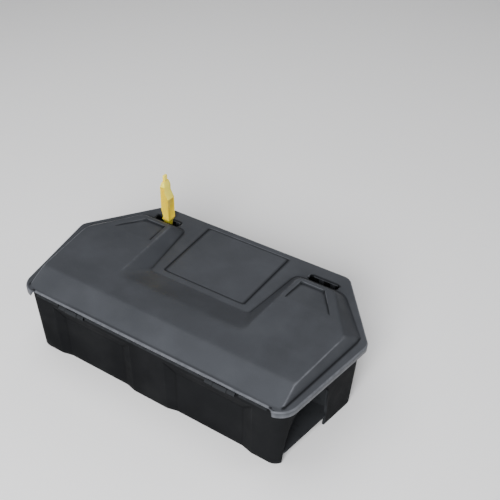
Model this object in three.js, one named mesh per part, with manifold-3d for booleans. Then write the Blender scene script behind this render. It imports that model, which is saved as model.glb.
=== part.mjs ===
// Tamper-resistant rodent bait station: a six-sided base with an entrance in each end, a hinged lid with
// two key slots, sprung latches in the base, a lift-out bait tray with two rods, and a key in one slot.
// Units are millimetres. Inside the station group x runs along the hinge edge, y runs from the hinge edge
// (y = 0) to the lock edge, and z is height above the ground.
import * as THREE from "three";
import { mergeVertices } from "three/addons/utils/BufferGeometryUtils.js";
import Module from "manifold-3d";

const wasm = await Module();
wasm.setup();

// ---- Driving dimensions ----
const HINGE_EDGE = 300; // lid length along the hinge side
const WIDEST = 342; // lid length at the corners between end and chamfer
const LOCK_EDGE = 230; // lid length along the lock side
const DEPTH = 192; // hinge edge to lock edge
const WIDEST_AT = 115; // distance from the hinge edge to the widest line
const LID_TOP = 80; // top of the lid's flange
const SHEET = 2.5; // moulded wall thickness
const GAP = 0.4; // running gap between pieces
const WING = 11; // height of the lid's raised wings above its flange
const SKIRT_BOTTOM = 73; // lower edge of the lid's skirt
const SKIRT = 2.2; // skirt thickness
const NOTCH = { x: 136, back: 3 }; // between its corners the lid's hinge side stands back and has no skirt
const RIM_TOP = 76.5; // top of the base wall
const FLOOR_TOP = 15; // inner floor of the base, also the sill of the entrances
const TRAVEL = 5; // stroke of each latch
const HINGE = { y: 3, z: 75, x: 85, pin: 1.2, hole: 1.5 }; // hinge axis, pin and hole radii
const BARREL = { lid: 2.6, base: 2.2 }; // outer radii of the hinge knuckles
const SLOT = { x: 96, y: 172, length: 33, width: 8.4 }; // key slot centre and size

const LID_UNDER = LID_TOP - SHEET;
const SIDES = [
  ["left", -1],
  ["right", 1],
];

// ---- Solids ----
// A closed BufferGeometry as a manifold-3d solid.
function solid(geometry) {
  const plain = geometry.index ? geometry.toNonIndexed() : geometry.clone();
  plain.deleteAttribute("normal");
  plain.deleteAttribute("uv");
  const merged = mergeVertices(plain, 1e-4);
  return new wasm.Manifold(
    new wasm.Mesh({
      numProp: 3,
      vertProperties: new Float32Array(merged.attributes.position.array),
      triVerts: new Uint32Array(merged.index.array),
    }),
  );
}

// A manifold-3d solid as a flat-shaded BufferGeometry.
function geometryOf(made) {
  const { numProp, numVert, vertProperties, triVerts } = made.getMesh();
  const position = new Float32Array(numVert * 3);
  for (let i = 0; i < numVert; i++) {
    position.set(vertProperties.subarray(i * numProp, i * numProp + 3), i * 3);
  }
  const indexed = new THREE.BufferGeometry()
    .setAttribute("position", new THREE.BufferAttribute(position, 3))
    .setIndex(new THREE.BufferAttribute(triVerts, 1));
  const flat = indexed.toNonIndexed();
  flat.computeVertexNormals();
  return flat;
}

function join(...pieces) {
  return pieces.reduce((whole, piece) => whole.add(piece));
}

function block([x0, x1], [y0, y1], [z0, z1]) {
  const box = new THREE.BoxGeometry(x1 - x0, y1 - y0, z1 - z0);
  return solid(box.translate((x0 + x1) / 2, (y0 + y1) / 2, (z0 + z1) / 2));
}

// A cylinder whose axis runs along "x", "y" or "z" from one end to the other.
function rod(axis, radius, [from, to], [u, v], sides = 24) {
  const cylinder = new THREE.CylinderGeometry(radius, radius, to - from, sides);
  const middle = (from + to) / 2;
  if (axis === "x") return solid(cylinder.rotateZ(-Math.PI / 2).translate(middle, u, v));
  if (axis === "y") return solid(cylinder.translate(u, middle, v));
  return solid(cylinder.rotateX(Math.PI / 2).translate(u, v, middle));
}

// A closed body between two outlines with the same number of points, one above the other.
function loft(lower, z0, upper, z1) {
  const count = lower.length;
  const points = [...lower.map((p) => [p.x, p.y, z0]), ...upper.map((p) => [p.x, p.y, z1])];
  const faces = [];
  THREE.ShapeUtils.triangulateShape(lower, []).forEach(([a, b, c]) => faces.push(c, b, a));
  THREE.ShapeUtils.triangulateShape(upper, []).forEach(([a, b, c]) => {
    faces.push(count + a, count + b, count + c);
  });
  for (let i = 0; i < count; i++) {
    const j = (i + 1) % count;
    faces.push(i, j, count + j, i, count + j, count + i);
  }
  const geometry = new THREE.BufferGeometry()
    .setAttribute("position", new THREE.Float32BufferAttribute(points.flat(), 3))
    .setIndex(faces);
  return solid(geometry);
}

function prism(outline, z0, z1) {
  return loft(outline, z0, outline, z1);
}

// A profile of [y, z] points extruded along x.
function extrudeX(profile, [x0, x1]) {
  const shape = new THREE.Shape(profile.map(([y, z]) => new THREE.Vector2(y, z)));
  const body = new THREE.ExtrudeGeometry(shape, { depth: x1 - x0, bevelEnabled: false });
  body.applyMatrix4(new THREE.Matrix4().set(0, 0, 1, x0, 1, 0, 0, 0, 0, 1, 0, 0, 0, 0, 0, 1));
  return solid(body);
}

// The same solid on the other side of the station.
function onSide(made, side) {
  return side > 0 ? made : made.mirror([1, 0, 0]);
}

function bothSides(made) {
  return made.add(onSide(made, -1));
}

// ---- The six-sided plan ----
function symmetric(rightHalf) {
  const left = [...rightHalf].reverse().map(([x, y]) => [-x, y]);
  return [...rightHalf, ...left].map(([x, y]) => new THREE.Vector2(x, y));
}

// A convex outline moved inwards by the same distance on every side.
function insetOutline(points, distance) {
  const line = (a, b) => {
    const along = b.clone().sub(a).normalize();
    const inward = new THREE.Vector2(-along.y, along.x);
    return { at: a.clone().addScaledVector(inward, distance), along };
  };
  return points.map((point, i) => {
    const before = line(points.at(i - 1), point);
    const after = line(point, points[(i + 1) % points.length]);
    const across = after.at.clone().sub(before.at);
    const reach = across.cross(after.along) / before.along.cross(after.along);
    return before.at.addScaledVector(before.along, reach);
  });
}

// Every corner replaced by an arc of the given radius.
function roundOutline(points, radius, steps = 6) {
  return points.flatMap((corner, i) => {
    const back = points.at(i - 1).clone().sub(corner).normalize();
    const ahead = points[(i + 1) % points.length].clone().sub(corner).normalize();
    const half = Math.acos(back.dot(ahead)) / 2;
    const bisector = back.clone().add(ahead).normalize();
    const centre = corner.clone().addScaledVector(bisector, radius / Math.sin(half));
    const first = corner.clone().addScaledVector(back, radius / Math.tan(half)).sub(centre);
    const sweep = Math.PI - 2 * half;
    return Array.from({ length: steps + 1 }, (_, k) =>
      first.clone().rotateAround(new THREE.Vector2(), (sweep * k) / steps).add(centre),
    );
  });
}

const PLAN = symmetric([
  [HINGE_EDGE / 2, 0],
  [WIDEST / 2, WIDEST_AT],
  [LOCK_EDGE / 2, DEPTH],
]);
const CORNER = 12;

function plan(inset, radius = CORNER) {
  return roundOutline(insetOutline(PLAN, inset), radius);
}

// ---- Base ----
const WALL_INSET = { top: 6, bottom: 8 }; // outer face of the wall, inside the lid's edge
const RECESS = { back: 10.6, from: 26, to: 110, top: 66, slope: 7 }; // back: sunk face to hinge edge
const RIM = { inset: 2.9, lap: 0.5, bottom: 73.5 }; // flange round the top of the wall
const BAFFLE = { from: 45, y: [82, 84.5], top: 74 }; // partitions between the runway and the bait

// One of the two sunk panels in the hinge-side wall, with sloping sides; grow thickens it into its backing.
function recess(grow) {
  const back = RECESS.back + grow;
  const width = (at) => [RECESS.from - grow + at, RECESS.to + grow - at];
  const outline = [
    [width(0)[0], 0],
    [width(0)[1], 0],
    [width(RECESS.slope)[1], back],
    [width(RECESS.slope)[0], back],
  ].map(([x, y]) => new THREE.Vector2(x, y));
  return prism(outline, -1, RECESS.top + grow);
}

// The arched entrance in an end wall: the hinge-side jamb leans, the other stands up.
function entrance() {
  const [front, back, top, corner] = [14, 74, 61, 10];
  const shape = new THREE.Shape()
    .moveTo(front, -1)
    .lineTo(front, FLOOR_TOP)
    .quadraticCurveTo(front + 2, top - 4, front + 16, top)
    .lineTo(back - 4 - corner, top)
    .quadraticCurveTo(back - 4, top, back - 3, top - corner)
    .lineTo(back, FLOOR_TOP)
    .lineTo(back, -1);
  const profile = shape.getPoints(6).map((p) => [p.x, p.y]);
  return extrudeX(profile, [125, 180]);
}

// Open-topped tower that holds one latch, its spring and its cover.
const TOWER = { x: [78, 114], y: [147, 176.5], top: 60, wall: 6, shelf: 48, spring: 150 };

function lockTower() {
  const pocketX = [TOWER.x[0] + TOWER.wall, TOWER.x[1] - TOWER.wall];
  const outer = block(TOWER.x, TOWER.y, [FLOOR_TOP - 1, TOWER.top]);
  const pocket = block(pocketX, [TOWER.spring, 190], [TOWER.shelf, TOWER.top + 1]);
  const cellar = block(pocketX, [TOWER.spring, 190], [FLOOR_TOP, TOWER.shelf - SHEET]);
  return outer.subtract(pocket).subtract(cellar);
}

function screwPlaces() {
  const edge = TOWER.wall / 2;
  return [
    [TOWER.x[0] + edge, 155],
    [TOWER.x[1] - edge, 155],
  ];
}

const KNUCKLE = { lid: 7, gap: 0.5, base: 8 }; // half length of the lid's knuckle, side gap, base knuckle

function baseKnuckles() {
  const inner = KNUCKLE.lid + KNUCKLE.gap;
  const reach = inner + KNUCKLE.base;
  const pieces = [-1, 1].map((end) => {
    const span = [HINGE.x + end * inner, HINGE.x + end * reach].sort((a, b) => a - b);
    const barrel = rod("x", BARREL.base, span, [HINGE.y, HINGE.z]);
    return barrel.add(block(span, [HINGE.y, 8], [72.8, RIM_TOP]));
  });
  const bore = rod("x", HINGE.hole, [HINGE.x - 20, HINGE.x + 20], [HINGE.y, HINGE.z]);
  return join(...pieces).subtract(bore);
}

// Hole in the floor for a screw that fixes the station down.
const ANCHOR = { x: 75, y: 45, radius: 2.5 };

function baseBody() {
  const outer = loft(plan(WALL_INSET.bottom), 0, plan(WALL_INSET.top), RIM_TOP);
  const room = loft(
    plan(WALL_INSET.bottom + SHEET),
    FLOOR_TOP,
    plan(WALL_INSET.top + SHEET),
    RIM_TOP + 1,
  );
  const under = prism(plan(WALL_INSET.bottom + SHEET), -1, FLOOR_TOP - SHEET);
  const backing = bothSides(recess(SHEET));
  const slab = prism(plan(WALL_INSET.bottom - 0.3), FLOOR_TOP - SHEET, FLOOR_TOP); // also the two sills
  let shell = outer.subtract(bothSides(recess(0)));
  shell = shell.subtract(join(room, under).subtract(backing));
  shell = shell.subtract(bothSides(entrance().subtract(slab)));

  const flange = prism(plan(RIM.inset), RIM.bottom, RIM_TOP)
    .subtract(prism(plan(WALL_INSET.top + RIM.lap), RIM.bottom - 1, RIM_TOP + 1));
  const cornerCut = bothSides(block([130, 160], [0, 9.5], [70, 80]));
  const reach = KNUCKLE.lid + KNUCKLE.gap + KNUCKLE.base;
  const hingeCut = bothSides(block([HINGE.x - reach, HINGE.x + reach], [0, 5.99], [70, 80]));
  const rim = flange.subtract(cornerCut).subtract(hingeCut);

  const baffle = bothSides(block([BAFFLE.from, 150], BAFFLE.y, [FLOOR_TOP - 1, BAFFLE.top]));
  const tower = bothSides(lockTower());
  const pilots = screwPlaces().map(([x, y]) => rod("z", 1.5, [48, TOWER.top + 1], [x, y]));
  const anchor = rod("z", ANCHOR.radius, [FLOOR_TOP - 5, FLOOR_TOP + 1], [ANCHOR.x, ANCHOR.y]);
  const holes = bothSides(join(...pilots, anchor));
  const fittings = bothSides(baseKnuckles());
  return join(shell, rim, baffle.intersect(room.add(slab)), tower, fittings).subtract(holes);
}

// ---- Lid ----
// Raised wings: one large six-sided step, cut by the label pocket that opens towards the lock edge.
const WING_CORNER = 8;

function wingStep(shrink) {
  const foot = symmetric([[143.6, 6], [161.5, 118], [122, 166]]);
  const crest = symmetric([[143.5, 28.5], [152, 100.5], [116, 153.5]]);
  const [lower, upper] = [foot, crest].map((points) =>
    roundOutline(insetOutline(points, shrink), WING_CORNER),
  );
  const base = LID_TOP - shrink;
  const top = LID_TOP + WING - shrink;
  if (!shrink) return loft(lower, base - 1, lower, base).add(loft(lower, base, upper, top));
  return loft(lower, LID_UNDER - 1, lower, base).add(loft(lower, base, upper, top));
}

function labelPocket(grow) {
  const lower = symmetric([[57.5, 91], [68, 163], [68, 190]]);
  const upper = symmetric([[70.5, 58], [78, 163], [78, 190]]);
  const wide = (points) => roundOutline(insetOutline(points, -grow), WING_CORNER);
  return loft(wide(lower), LID_TOP - grow, wide(upper), LID_TOP + WING + 0.01);
}

// Two hooks behind each slot that the latch noses catch under.
const CATCH = {
  x: [
    [87, 92],
    [100, 105],
  ],
  y: [179.5, 182],
  lip: 173.6,
  top: 69,
  under: 66.5,
  bottom: 61.6,
};

function catches() {
  const hooks = CATCH.x.map((span) =>
    block(span, CATCH.y, [CATCH.bottom, LID_UNDER + 1]).add(
      block(span, [CATCH.lip, CATCH.y[0] + 1], [CATCH.under, CATCH.top]),
    ),
  );
  return join(...hooks);
}

function lidKnuckle() {
  const span = [HINGE.x - KNUCKLE.lid, HINGE.x + KNUCKLE.lid];
  const barrel = rod("x", BARREL.lid, span, [HINGE.y, HINGE.z]);
  const neck = block(span, [NOTCH.back + 0.1, HINGE.y + 2.3], [HINGE.z, LID_UNDER + 1]);
  const bore = rod("x", HINGE.hole, [HINGE.x - 20, HINGE.x + 20], [HINGE.y, HINGE.z]);
  return barrel.add(neck).subtract(bore);
}

// Shallow sunk panel beside each slot: deepest along its lock side, fading out towards the hinge side.
const PANEL = { hinge: 118, lock: 149, depth: 1.8, x: { hinge: [79, 127], lock: [81.5, 106.5] } };

function wingPanel() {
  const outline = [
    [PANEL.x.hinge[1], PANEL.hinge],
    [PANEL.x.lock[1], PANEL.lock],
    [PANEL.x.lock[0], PANEL.lock],
    [PANEL.x.hinge[0], PANEL.hinge],
  ].map(([x, y]) => new THREE.Vector2(x, y));
  const top = LID_TOP + WING;
  const sunk = prism(outline, top - 2 * PANEL.depth, top + 1);
  const kept = [
    [PANEL.hinge - 5, top - 3 * PANEL.depth],
    [PANEL.lock + 1, top - 3 * PANEL.depth],
    [PANEL.lock + 1, top - PANEL.depth],
    [PANEL.hinge, top],
    [PANEL.hinge - 5, top],
  ];
  return sunk.subtract(extrudeX(kept, [60, 140]));
}

function lidBody() {
  const notch = [-NOTCH.x, NOTCH.x];
  const plate = prism(plan(0), LID_UNDER, LID_TOP)
    .subtract(block(notch, [-1, NOTCH.back], [LID_UNDER - 1, LID_TOP + 1]));
  const skirt = prism(plan(0), SKIRT_BOTTOM, LID_UNDER + 0.5)
    .subtract(prism(plan(SKIRT), SKIRT_BOTTOM - 1, LID_UNDER + 1))
    .subtract(block(notch, [-1, NOTCH.back * 2], [SKIRT_BOTTOM - 1, LID_UNDER + 1]));
  const wings = wingStep(0).subtract(labelPocket(0));
  const hollow = wingStep(SHEET).subtract(labelPocket(SHEET));
  const slot = block(
    [SLOT.x - SLOT.length / 2, SLOT.x + SLOT.length / 2],
    [SLOT.y - SLOT.width / 2, SLOT.y + SLOT.width / 2],
    [LID_UNDER - 2, LID_TOP + 2],
  );
  const shell = join(plate, skirt, wings).subtract(hollow);
  const fittings = bothSides(catches().add(lidKnuckle()));
  return shell.add(fittings).subtract(bothSides(slot)).subtract(bothSides(wingPanel()));
}

// ---- Latch, spring, cover and screws, drawn for the right-hand side with the latch drawn back ----
const LATCH = { y: [157, 167], z: [48.3, 59.6], post: 4, nose: 172.5, noseZ: [63, 66.1] };

function latchBody() {
  const x = [TOWER.x[0] + TOWER.wall + GAP, TOWER.x[1] - TOWER.wall - GAP];
  const slide = block(x, LATCH.y, LATCH.z);
  const posts = CATCH.x.map(([x0, x1]) => {
    const span = [x0 + 0.5, x1 - 0.5];
    const post = block(span, [LATCH.y[1] - LATCH.post, LATCH.y[1]], [LATCH.z[1] - 1, LATCH.noseZ[1]]);
    return post.add(block(span, [LATCH.y[1] - 1, LATCH.nose], LATCH.noseZ));
  });
  const ramp = extrudeX(
    [
      [LATCH.y[1] - LATCH.post, LATCH.z[1] - 1],
      [LATCH.nose, LATCH.z[1] - 1],
      [LATCH.nose, LATCH.z[1] + 1],
      [LATCH.y[1] - LATCH.post + 1.5, 69],
      [LATCH.y[1] - LATCH.post, 69],
    ],
    [CATCH.x[0][1] + 1, CATCH.x[1][0] - 1],
  );
  return join(slide, ramp, ...posts);
}

// Helical compression spring along y between the tower's front wall and the latch.
function springBody() {
  const [from, to] = [TOWER.spring + GAP, LATCH.y[0] - GAP];
  const [radius, wire, turns, steps] = [2.8, 0.4, 4, 16];
  const points = Array.from({ length: turns * steps + 1 }, (_, i) => {
    const angle = (2 * Math.PI * i) / steps;
    const y = from + wire + ((to - from - 2 * wire) * i) / (turns * steps);
    return new THREE.Vector3(SLOT.x + radius * Math.cos(angle), y, 54 + radius * Math.sin(angle));
  });
  const section = new THREE.Shape().absarc(0, 0, wire, 0, 2 * Math.PI);
  const path = new THREE.CatmullRomCurve3(points);
  const coil = { steps: turns * steps, extrudePath: path, curveSegments: 4 };
  return solid(new THREE.ExtrudeGeometry(section, coil));
}

function coverBody() {
  const plate = block(TOWER.x, [TOWER.y[0], 162], [TOWER.top + 0.3, TOWER.top + 2.3]);
  const holes = screwPlaces().map(([x, y]) => rod("z", 1.5, [50, 70], [x, y]));
  return plate.subtract(join(...holes));
}

function screwBody(x, y) {
  const seat = TOWER.top + 2.6;
  const head = rod("z", 2.5, [seat, seat + 1.6], [x, y]);
  const shank = rod("z", 1.2, [50, seat + 0.5], [x, y]);
  const cross = block([x - 1.6, x + 1.6], [y - 0.35, y + 0.35], [seat + 0.8, seat + 2]);
  const cross2 = block([x - 0.35, x + 0.35], [y - 1.6, y + 1.6], [seat + 0.8, seat + 2]);
  return head.add(shank).subtract(cross).subtract(cross2);
}

function hingePin() {
  const reach = KNUCKLE.lid + KNUCKLE.gap + KNUCKLE.base - 0.3;
  return rod("x", HINGE.pin, [HINGE.x - reach, HINGE.x + reach], [HINGE.y, HINGE.z]);
}

// ---- Bait tray, rods and blocks ----
const TRAY = { x: 122, y: [87, 144], z: FLOOR_TOP + 0.4, lip: 12, wall: 2 };
const BAIT = { y: 115, z: 42, rod: 2, posts: [50, 118], size: 30, length: 28, hole: 5, groove: 3.5 };
const BAIT_CENTRE = BAIT.z + BAIT.rod + GAP - BAIT.hole; // the block hangs with its hole over the rod

// Four upright posts with open notches that the rods drop into.
function trayBody() {
  const outer = block([-TRAY.x, TRAY.x], TRAY.y, [TRAY.z, TRAY.z + TRAY.lip]);
  const inner = block(
    [-TRAY.x + TRAY.wall, TRAY.x - TRAY.wall],
    [TRAY.y[0] + TRAY.wall, TRAY.y[1] - TRAY.wall],
    [TRAY.z + TRAY.wall, TRAY.z + TRAY.lip + 1],
  );
  const posts = BAIT.posts.map((x) => {
    const post = block([x - 1.5, x + 1.5], [BAIT.y - 8, BAIT.y + 8], [TRAY.z, BAIT.z + 7]);
    const notch = [BAIT.y - BAIT.rod - GAP, BAIT.y + BAIT.rod + GAP];
    return post.subtract(block([x - 3, x + 3], notch, [BAIT.z - BAIT.rod - GAP, BAIT.z + 9]));
  });
  return outer.subtract(inner).add(bothSides(join(...posts)));
}

// Steel rod with its inner end turned up as a finger grip.
function baitRod() {
  const [inner, outer] = BAIT.posts;
  const path = new THREE.CurvePath();
  const point = (x, z) => new THREE.Vector3(x, BAIT.y, z);
  const turn = 7;
  const grip = inner - 5 - turn;
  const bend = new THREE.QuadraticBezierCurve3(
    point(grip, BAIT.z + turn),
    point(grip, BAIT.z),
    point(grip + turn, BAIT.z),
  );
  const rise = new THREE.LineCurve3(point(grip, BAIT.z + 20), point(grip, BAIT.z + turn));
  path.add(rise);
  path.add(bend);
  path.add(new THREE.LineCurve3(point(grip + turn, BAIT.z), point(outer + 4, BAIT.z)));
  const section = new THREE.Shape().absarc(0, 0, BAIT.rod, 0, 2 * Math.PI);
  return solid(new THREE.ExtrudeGeometry(section, { steps: 30, extrudePath: path, curveSegments: 6 }));
}

// A wax bait block with grooved corners and a hole for the rod.
function baitBlock(x0) {
  const half = BAIT.size / 2;
  const x = [x0, x0 + BAIT.length];
  const body = block(x, [BAIT.y - half, BAIT.y + half], [BAIT_CENTRE - half, BAIT_CENTRE + half]);
  const through = [x[0] - 1, x[1] + 1];
  const hole = rod("x", BAIT.hole, through, [BAIT.y, BAIT_CENTRE]);
  const grooves = [-1, 1].flatMap((side) =>
    [-1, 1].map((up) =>
      rod("x", BAIT.groove, through, [BAIT.y + side * half, BAIT_CENTRE + (up * half) / 3], 12),
    ),
  );
  return body.subtract(join(hole, ...grooves));
}

// ---- Key ----
// Moulded key standing in the left slot: a waisted grip, a narrower head with a nub, and a wedge blade.
const KEY = { grip: 11, blade: [7, 6.6], tip: -9, seat: 0.5, nub: [50, 57] };

function outlineOf(points) {
  return new THREE.Shape(points.map(([x, z]) => new THREE.Vector2(x, z)));
}

// The grip is the common part of its front outline (x, z) and its side outline (y, z), above the slot.
function keyGrip() {
  const front = outlineOf([
    [-3.8, KEY.seat],
    [4, KEY.seat],
    [5, 4],
    [5, 30],
    [1, 38],
    [1, 46],
    [-0.4, KEY.nub[0]],
    [-3.2, KEY.nub[0]],
    [-5, 44],
    [-5, 16],
    [-2.8, 7],
    [-4.6, 3.5],
  ]);
  const side = [
    [-4, KEY.seat],
    [4, KEY.seat],
    [KEY.grip / 2, 4],
    [KEY.grip / 2, 44],
    [4, KEY.nub[0] + 1],
    [-4, KEY.nub[0] + 1],
    [-KEY.grip / 2, 44],
    [-KEY.grip / 2, 4],
  ];
  const faced = new THREE.ExtrudeGeometry(front, { depth: 20, bevelEnabled: false });
  faced.translate(0, 0, -10).rotateX(Math.PI / 2);
  const nub = block([-3, -0.6], [-2.4, 2.4], [KEY.nub[0] - 1, KEY.nub[1]]);
  return solid(faced).intersect(extrudeX(side, [-10, 10])).add(nub);
}

function rectangle(width, height) {
  const corners = [
    [-1, -1],
    [1, -1],
    [1, 1],
    [-1, 1],
  ];
  return corners.map(([x, y]) => new THREE.Vector2((x * width) / 2, (y * height) / 2));
}

function keyBody() {
  const [across, thick] = KEY.blade;
  const full = rectangle(across, thick);
  const blade = prism(full, -3, KEY.seat + 2).add(loft(rectangle(across, thick * 0.4), KEY.tip, full, -3));
  return keyGrip().add(blade).translate([-SLOT.x, SLOT.y, LID_TOP]);
}

// ---- Assembly ----
const finish = (color, roughness, metalness = 0) =>
  new THREE.MeshStandardMaterial({ color, roughness, metalness });
const BLACK_PLASTIC = finish(0x2c2e31, 0.55);
const INNER_PLASTIC = finish(0x35373a, 0.6);
const STEEL = finish(0xb9bcc0, 0.35, 1);
const KEY_PLASTIC = finish(0xe0c24a, 0.45);
const WAX = finish(0x2f8f86, 0.7);

const station = new THREE.Group();
station.position.y = -DEPTH / 2;

function place(name, made, material) {
  const mesh = new THREE.Mesh(geometryOf(made), material);
  mesh.name = name;
  station.add(mesh);
}

place("base", baseBody(), BLACK_PLASTIC);
place("lid", lidBody(), BLACK_PLASTIC);
place("bait_tray", trayBody(), INNER_PLASTIC);
place("key", keyBody(), KEY_PLASTIC);
for (const [side, sign] of SIDES) {
  place(`hinge_pin_${side}`, onSide(hingePin(), sign), BLACK_PLASTIC);
  place(`latch_${side}`, onSide(latchBody(), sign), BLACK_PLASTIC);
  place(`latch_spring_${side}`, onSide(springBody(), sign), STEEL);
  place(`latch_cover_${side}`, onSide(coverBody(), sign), INNER_PLASTIC);
  place(`bait_rod_${side}`, onSide(baitRod(), sign), STEEL);
  screwPlaces().forEach(([x, y], i) => {
    const which = i ? "outer" : "inner";
    place(`cover_screw_${side}_${which}`, onSide(screwBody(x, y), sign), STEEL);
  });
  [0, 1].forEach((i) => {
    const x0 = BAIT.posts[0] + 4 + i * (BAIT.length + 2);
    const which = i ? "outer" : "inner";
    place(`bait_block_${side}_${which}`, onSide(baitBlock(x0), sign), WAX);
  });
}

const root = new THREE.Group();
root.add(station);
export default root;
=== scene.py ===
"""A rodent bait station: a six-sided moulded box with a hinged lid and a key standing in one lid slot.
Shapes are worked out in millimetres on the station's own plan, where x runs along the hinge edge, y
runs from the hinge edge to the lock edge and z is height, and shift_to_frame puts them into the frame
in metres."""

import math

import bmesh
import bpy
import numpy as np
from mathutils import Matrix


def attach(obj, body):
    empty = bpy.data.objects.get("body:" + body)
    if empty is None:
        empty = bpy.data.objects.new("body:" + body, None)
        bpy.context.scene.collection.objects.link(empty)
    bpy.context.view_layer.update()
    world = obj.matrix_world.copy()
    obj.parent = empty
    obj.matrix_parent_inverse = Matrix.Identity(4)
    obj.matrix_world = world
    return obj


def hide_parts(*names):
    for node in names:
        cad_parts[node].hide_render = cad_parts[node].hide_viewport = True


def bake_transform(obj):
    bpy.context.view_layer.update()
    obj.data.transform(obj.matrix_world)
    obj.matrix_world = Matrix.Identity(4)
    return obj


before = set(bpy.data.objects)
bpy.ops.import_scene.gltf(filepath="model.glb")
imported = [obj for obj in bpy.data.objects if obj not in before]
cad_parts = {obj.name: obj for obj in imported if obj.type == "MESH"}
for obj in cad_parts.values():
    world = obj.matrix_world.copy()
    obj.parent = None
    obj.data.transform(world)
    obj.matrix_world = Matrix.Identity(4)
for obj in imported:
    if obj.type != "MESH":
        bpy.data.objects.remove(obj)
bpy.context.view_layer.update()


# ---- Studio -------------------------------------------------------------------------------------------
# A pale floor, soft lamps overhead, behind, on the right and in front, and a camera that looks down on
# the hinge side from the right.
def studio_floor():
    """A flat square of 6 m, just under the feet, in a pale matt finish."""
    mesh = bpy.data.meshes.new("studio_floor")
    half, low = 3.0, -0.0002
    corners = [(-half, -half, low), (half, -half, low), (half, half, low), (-half, half, low)]
    mesh.from_pydata(corners, [], [(0, 1, 2, 3)])
    floor = bpy.data.objects.new("studio_floor", mesh)
    bpy.context.scene.collection.objects.link(floor)
    pale = bpy.data.materials.new("pale_floor")
    pale.use_nodes = True
    shader = pale.node_tree.nodes["Principled BSDF"]
    shader.inputs["Base Color"].default_value = (0.92, 0.92, 0.93, 1)
    shader.inputs["Roughness"].default_value = 0.9
    mesh.materials.append(pale)


def soft_lamp(name, place, size, power):
    """A square area lamp of that size, in metres, aimed at the middle of the station."""
    lamp = bpy.data.lights.new(name, "AREA")
    lamp.size = size
    lamp.energy = power
    holder = bpy.data.objects.new(name, lamp)
    holder.location = place
    aim = -holder.location.normalized()
    holder.rotation_euler = aim.to_track_quat("-Z", "Y").to_euler()
    bpy.context.scene.collection.objects.link(holder)


def studio_camera():
    """A camera at a fixed height and bearing, with a small shift that frames the station low and
    left."""
    lens = bpy.data.cameras.new("studio_camera")
    lens.sensor_width = 36.0
    lens.lens = 52.7
    lens.shift_x, lens.shift_y = 0.06, 0.07
    lens.clip_start = 0.01
    camera = bpy.data.objects.new("studio_camera", lens)
    bearing, height = 0.5881, 0.6998
    camera.location = (0.3193, -0.4446, 0.5450)
    camera.rotation_euler = (math.pi / 2 - height, 0, bearing)
    bpy.context.scene.collection.objects.link(camera)
    bpy.context.scene.camera = camera


def sky_light(strength):
    """An even white sky all round."""
    sky = bpy.data.worlds.new("studio_sky")
    sky.use_nodes = True
    sky.node_tree.nodes["Background"].inputs["Color"].default_value = (1, 1, 1, 1)
    sky.node_tree.nodes["Background"].inputs["Strength"].default_value = strength
    bpy.context.scene.world = sky


studio_floor()
studio_camera()
sky_light(0.12)
soft_lamp("overhead_lamp", (-0.38, -0.1, 1.4), 1.2, 13)
soft_lamp("far_lamp", (-0.35, 1.15, 1.0), 0.9, 2.5)
soft_lamp("right_lamp", (1.0, 0.75, 0.65), 0.7, 3)
soft_lamp("front_lamp", (0.45, -1.5, 1.0), 0.8, 55)

# ---- Lid ----------------------------------------------------------------------------------------------
# One injection-moulded cover of fine-grained polypropylene: a flat flange with a short skirt, a hollow
# raised step shaped like a C round a sunk label area, and a slot for the key at each end of the step.
DEPTH = 192.0
PLAN = np.array([(150, 0), (171, 115), (115, DEPTH), (-115, DEPTH), (-171, 115), (-150, 0)], float)
CORNER = 12.0
LID_CORNERS = (20.0, CORNER, CORNER, CORNER, CORNER, 20.0)
UNDERSIDE = (0.9925, 0.986)  # how far the lid's underside is drawn in, to the skirt's inner face
LID_TOP, LID_WALL, STEP = 80.0, 2.5, 11.0
EDGE = 1.4  # radius of the flange's rounded edge
LABEL_CORNER = (5.0, 10.0)  # radius of the label area's corners, at its floor and at its top
SKIRT_LOW, LIP_LOW = 73.0, 77.5
NOTCH_X, NOTCH_BACK = 136.0, 3.0
SLOT_X, SLOT_Y, SLOT_LENGTH, SLOT_WIDTH, SLOT_CORNER = 96.0, 172.0, 33.0, 8.4, 3.2


def shift_to_frame(points):
    """Millimetres on the station's plan to metres in the frame: y is counted from the middle."""
    return (np.asarray(points, float) - (0, DEPTH / 2, 0)) / 1000


def rounded_plan(inset, side_steps, corner_steps, radius=CORNER):
    """The six-sided outline moved in by inset: each side is shifted along its own normal, each corner
    becomes an arc of its own radius that turns at a steady rate, and each straight stretch is split
    evenly."""
    radius = np.broadcast_to(np.asarray(radius, float), (6,))[:, None]
    ahead = np.roll(PLAN, -1, 0) - PLAN
    ahead /= np.linalg.norm(ahead, axis=1, keepdims=True)
    inward = np.stack([-ahead[:, 1], ahead[:, 0]], 1)
    before, before_in = np.roll(ahead, 1, 0), np.roll(inward, 1, 0)
    cross = before[:, 0] * ahead[:, 1] - before[:, 1] * ahead[:, 0]
    reach = inset + radius
    centre = PLAN + reach * (before - ahead) * (-1 / cross)[:, None]
    radius = radius[:, :, None]
    start = np.arctan2(-before_in[:, 1], -before_in[:, 0])
    turn = np.arccos(np.clip((before_in * inward).sum(1), -1, 1))
    angle = start[:, None] + turn[:, None] * np.linspace(0, 1, corner_steps + 1)
    arc = centre[:, None] + radius * np.stack([np.cos(angle), np.sin(angle)], 2)
    loop = []
    for i, steps in enumerate(side_steps):
        share = np.arange(1, steps)[:, None] / steps
        loop += [arc[i], arc[i, -1] * (1 - share) + arc[(i + 1) % 6, 0] * share]
    return np.concatenate(loop)


def eased(count):
    """Stations from 0 to 1 that crowd towards both ends, as half a cosine wave does."""
    return (1 - np.cos(np.pi * np.arange(count + 1) / count)) / 2


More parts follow.
